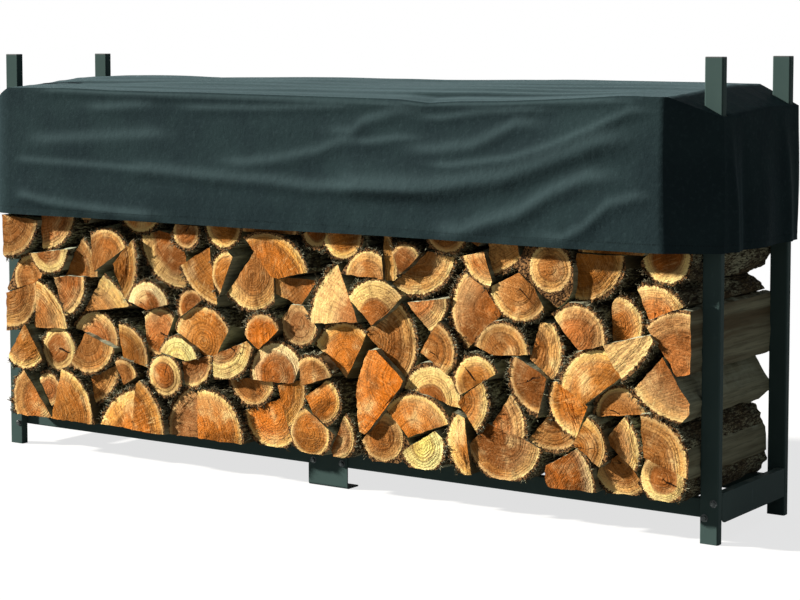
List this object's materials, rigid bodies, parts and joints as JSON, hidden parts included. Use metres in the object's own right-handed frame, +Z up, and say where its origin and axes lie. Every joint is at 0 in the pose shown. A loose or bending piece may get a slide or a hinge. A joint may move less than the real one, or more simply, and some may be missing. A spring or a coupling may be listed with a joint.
{
  "type": "log store",
  "caption": "Open steel-tube log rack loaded with split firewood, with a fitted fabric cover over the top of the stack and posts rising through it.",
  "frame": {"origin": "centre of the base of the outer box, on the ground", "axes": "+X along the store's length, to the right seen from the front; +Y from front to back; +Z up"},
  "size_m": [2.456, 0.545, 1.22],
  "materials": {
    "steel": "satin powder coat",
    "cap": "matte",
    "cover": "coated woven sheet",
    "wood": "raw split logs with bark"
  },
  "bodies": {
    "root": {"post_front_left": "steel", "post_front_right": "steel", "post_back_left": "steel", "post_back_right": "steel", "rail_front_left": "steel", "rail_front_right": "steel", "rail_back_left": "steel", "rail_back_right": "steel", "end_rail_left": "steel", "end_rail_right": "steel", "foot_front": "steel", "foot_back": "steel", "cap_front_left": "cap", "cap_front_right": "cap", "cap_back_left": "cap", "cap_back_right": "cap", "cover": "cover", "logs_bottom_bay_1": "wood", "logs_bottom_bay_2": "wood", "logs_bottom_bay_3": "wood", "logs_bottom_bay_4": "wood", "logs_lower_bay_1": "wood", "logs_lower_bay_2": "wood", "logs_lower_bay_3": "wood", "logs_lower_bay_4": "wood", "logs_middle_bay_1": "wood", "logs_middle_bay_2": "wood", "logs_middle_bay_3": "wood", "logs_middle_bay_4": "wood", "logs_upper_bay_1": "wood", "logs_upper_bay_2": "wood", "logs_upper_bay_3": "wood", "logs_upper_bay_4": "wood", "logs_top_bay_1": "wood", "logs_top_bay_2": "wood", "logs_top_bay_3": "wood", "logs_top_bay_4": "wood"}
  },
  "joints": []
}
